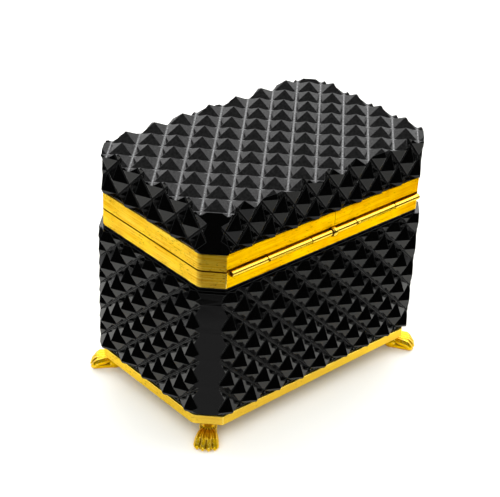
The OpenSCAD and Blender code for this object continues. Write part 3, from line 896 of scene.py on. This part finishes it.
class CASKET_OT_stage(bpy.types.Operator):
    """Pale floor, soft studio light and the camera"""

    bl_idname = "casket.stage"
    bl_label = "Stage"

    def light(self, name, place, size, power, colour):
        """A square soft box that looks at the middle of the floor and leaves no reflection"""
        data = bpy.data.lights.new(name, "AREA")
        data.shape = "SQUARE"
        data.size = size
        data.energy = power
        data.color = colour
        lamp = bpy.data.objects.new(name, data)
        lamp.location = place
        lamp.rotation_mode = "QUATERNION"
        lamp.rotation_quaternion = (-place).to_track_quat("-Z", "Y")
        lamp.visible_glossy = False
        bpy.context.scene.collection.objects.link(lamp)

    def sheet(self, name, bm, material):
        """Makes the bmesh a piece of the stage"""
        mesh = bpy.data.meshes.new(name)
        bm.to_mesh(mesh)
        bm.free()
        mesh.materials.append(material)
        piece = bpy.data.objects.new(name, mesh)
        bpy.context.scene.collection.objects.link(piece)
        return piece

    def floor(self, colour):
        """A wide matt floor of plain pale paper"""
        material, tree, shader, place = start_material("Pale paper")
        # cloudy fibre of about 30 mm
        fibre = add(tree, "ShaderNodeTexNoise", {"Vector": place, "Scale": 1 / (30 * MM), "Detail": 3.0})
        tint = add(
            tree,
            "ShaderNodeMix",
            {0: fibre.outputs["Fac"], 6: (*colour, 1), 7: (*[c * 0.985 for c in colour], 1)},
            data_type="RGBA",
        )
        tree.links.new(tint.outputs[2], shader.inputs["Base Color"])
        shader.inputs["Roughness"].default_value = 0.9
        shader.inputs["Specular IOR Level"].default_value = 0.0
        bm = bmesh.new()
        bmesh.ops.create_grid(bm, x_segments=1, y_segments=1, size=4.0)
        self.sheet("floor", bm, material)

    def card(self, name, bm, axis, near, far, glow):
        """A card over the floor, seen only in reflections, that glows near the casket and fades dark along
        an axis,
        or outwards without one: a painted reflection"""
        material, tree, shader, place = start_material(name)
        if axis is None:
            reach = add(tree, "ShaderNodeVectorMath", {0: place}, operation="LENGTH")
        else:
            reach = add(tree, "ShaderNodeVectorMath", {0: place, 1: tuple(axis)}, operation="DOT_PRODUCT")
        fade = add(
            tree,
            "ShaderNodeMapRange",
            {0: reach.outputs["Value"], 1: near, 2: far, 3: glow, 4: 0.02},
        )
        tree.links.new(fade.outputs[0], shader.inputs["Emission Strength"])
        shader.inputs["Emission Color"].default_value = (1, 1, 1, 1)
        shader.inputs["Base Color"].default_value = (0, 0, 0, 1)
        shader.inputs["Specular IOR Level"].default_value = 0.0
        dark = self.sheet(name, bm, material)
        for ray in ("camera", "diffuse", "shadow", "transmission", "volume_scatter"):
            setattr(dark, f"visible_{ray}", False)

    def surround(self, back):
        """Painted reflections that fade dark outwards: a card towards the camera and a ring beyond the
        white paper, standing in for the dark room
        """
        lift = 2 * MM
        start, end = 0.095, 2.0
        cloth = (
            Matrix.Rotation(math.atan2(back.y, back.x), 4, "Z")
            @ Matrix.Translation(((start + end) / 2, 0, lift))
            @ Matrix.Diagonal(((end - start) / 2, 1, 1, 1))
        )
        front_reflection_sheet = bmesh.new()
        bmesh.ops.create_grid(front_reflection_sheet, x_segments=1, y_segments=1, size=1.0, matrix=cloth)
        self.card("front_reflection_sheet", front_reflection_sheet, back, near=0.19, far=0.238, glow=0.95)
        ring = bmesh.new()
        below = Matrix.Translation((0, 0, lift / 2))
        for radius in (0.3, 3.0):
            bmesh.ops.create_circle(ring, cap_ends=False, segments=48, radius=radius, matrix=below)
        bmesh.ops.bridge_loops(ring, edges=ring.edges[:])
        self.card("dark room", ring, None, near=0.3, far=0.42, glow=1.0)

    def room(self, back):
        """A pale sweep behind the casket with a long soft box over it, dark towards the camera, which
        itself sees plain white"""
        world = bpy.data.worlds.new("studio")
        bpy.context.scene.world = world
        world.use_nodes = True
        tree = world.node_tree
        way = add(tree, "ShaderNodeTexCoord").outputs["Generated"]
        behind = add(
            tree,
            "ShaderNodeVectorMath",
            {0: way, 1: tuple(-back)},
            operation="DOT_PRODUCT",
        ).outputs["Value"]
        up = add(tree, "ShaderNodeSeparateXYZ", {0: way}).outputs["Z"]
        smooth = {"interpolation_type": "SMOOTHSTEP"}
        sweep = add(tree, "ShaderNodeMapRange", {0: behind, 1: 0.3, 2: 0.75, 3: 0.02, 4: 1.18}, **smooth)
        rear = add(tree, "ShaderNodeMapRange", {0: behind, 1: -0.15, 2: 0.25, 3: 0.0, 4: 3.2}, **smooth)
        low = add(tree, "ShaderNodeMapRange", {0: up, 1: 0.28, 2: 0.42}, **smooth)
        high = add(tree, "ShaderNodeMapRange", {0: up, 1: 0.9, 2: 0.75}, **smooth)
        span = add(tree, "ShaderNodeMath", {0: low.outputs[0], 1: high.outputs[0]}, operation="MULTIPLY")
        box = add(
            tree,
            "ShaderNodeMath",
            {0: span.outputs[0], 1: rear.outputs[0], 2: sweep.outputs[0]},
            operation="MULTIPLY_ADD",
        )
        # a weak light overhead and a faint one before the casket
        top = add(tree, "ShaderNodeMapRange", {0: up, 1: 0.85, 2: 0.97, 3: 0.0, 4: 1.0}, **smooth)
        glow = add(tree, "ShaderNodeMath", {0: box.outputs[0], 1: top.outputs[0]}, operation="ADD")
        front = add(tree, "ShaderNodeMapRange", {0: behind, 1: -0.2, 2: -0.5, 3: 0.0, 4: 0.45}, **smooth)
        rise = add(tree, "ShaderNodeMapRange", {0: up, 1: 0.4, 2: 0.6}, **smooth)
        glow = add(
            tree,
            "ShaderNodeMath",
            {0: front.outputs[0], 1: rise.outputs[0], 2: glow.outputs[0]},
            operation="MULTIPLY_ADD",
        )
        seen = add(tree, "ShaderNodeLightPath").outputs["Is Camera Ray"]
        strength = add(tree, "ShaderNodeMix", {0: seen, 2: glow.outputs[0], 3: 1.0}, data_type="FLOAT")
        shade = tree.nodes["Background"]
        shade.inputs["Color"].default_value = (1, 1, 1, 1)
        tree.links.new(strength.outputs[0], shade.inputs["Strength"])

    def execute(self, context):
        settings = context.scene.casket.stage
        azimuth, elevation, roll = settings.azimuth, settings.elevation, settings.roll
        outwards = Vector((math.sin(azimuth), -math.cos(azimuth), 0))
        back = outwards * math.cos(elevation) + Vector((0, 0, math.sin(elevation)))
        level = (-back).cross(Vector((0, 0, 1))).normalized()
        below = (-back).cross(level)
        right = math.cos(roll) * level + math.sin(roll) * below
        down = -math.sin(roll) * level + math.cos(roll) * below
        middle = Vector((0, 0, SPLIT - 40 * MM))
        target = middle + right * settings.aim[0] + down * settings.aim[1]
        data = bpy.data.cameras.new("camera")
        data.sensor_width = 36
        data.lens = settings.lens
        data.clip_start = 0.01
        camera = bpy.data.objects.new("camera", data)
        turn = Matrix((right, -down, back)).transposed().to_4x4()
        camera.matrix_world = Matrix.Translation(target + back * settings.distance) @ turn
        context.scene.collection.objects.link(camera)
        context.scene.camera = camera
        context.scene.view_settings.view_transform = "Standard"
        dark_side = Vector((math.sin(settings.light_turn), -math.cos(settings.light_turn), 0))
        self.floor(settings.floor)
        self.room(dark_side)
        self.surround(dark_side)
        self.light("overhead soft box", Vector((0.1, 0.1, 1.3)), size=1.1, power=3.6, colour=(1, 1, 1))
        before = dark_side * 0.9 + Vector((0, 0, 0.7))
        self.light("front fill", before, size=0.9, power=9.6, colour=(0.97, 1, 0.95))
        return {"FINISHED"}


class CASKET_PT_panel(bpy.types.Panel):
    """Lists the casket's steps and settings"""

    bl_idname = "CASKET_PT_panel"
    bl_label = "Glass Casket"
    bl_space_type = "VIEW_3D"
    bl_region_type = "UI"
    bl_category = "Casket"

    def draw(self, context):
        for operator in OPERATORS:
            self.layout.operator(operator.bl_idname)
        settings = context.scene.casket
        for group in (settings.glass, settings.gilt, settings.foot, settings.stage):
            box = self.layout.box()
            for key in group.__annotations__:
                box.prop(group, key)


OPERATORS = (
    CASKET_OT_glass,
    CASKET_OT_mounts,
    CASKET_OT_hinge,
    CASKET_OT_feet,
    CASKET_OT_lock,
    CASKET_OT_stage,
)
CLASSES = (
    GlassSettings,
    GiltSettings,
    FootSettings,
    StageSettings,
    CasketSettings,
    *OPERATORS,
    CASKET_PT_panel,
)


def register():
    for cls in CLASSES:
        bpy.utils.register_class(cls)
    bpy.types.Scene.casket = PointerProperty(type=CasketSettings)


def unregister():
    del bpy.types.Scene.casket
    for cls in reversed(CLASSES):
        bpy.utils.unregister_class(cls)


def main():
    register()
    bpy.ops.casket.glass()
    bpy.ops.casket.mounts()
    bpy.ops.casket.hinge()
    bpy.ops.casket.feet()
    bpy.ops.casket.lock()
    bpy.ops.casket.stage()


if __name__ == "__main__":
    main()
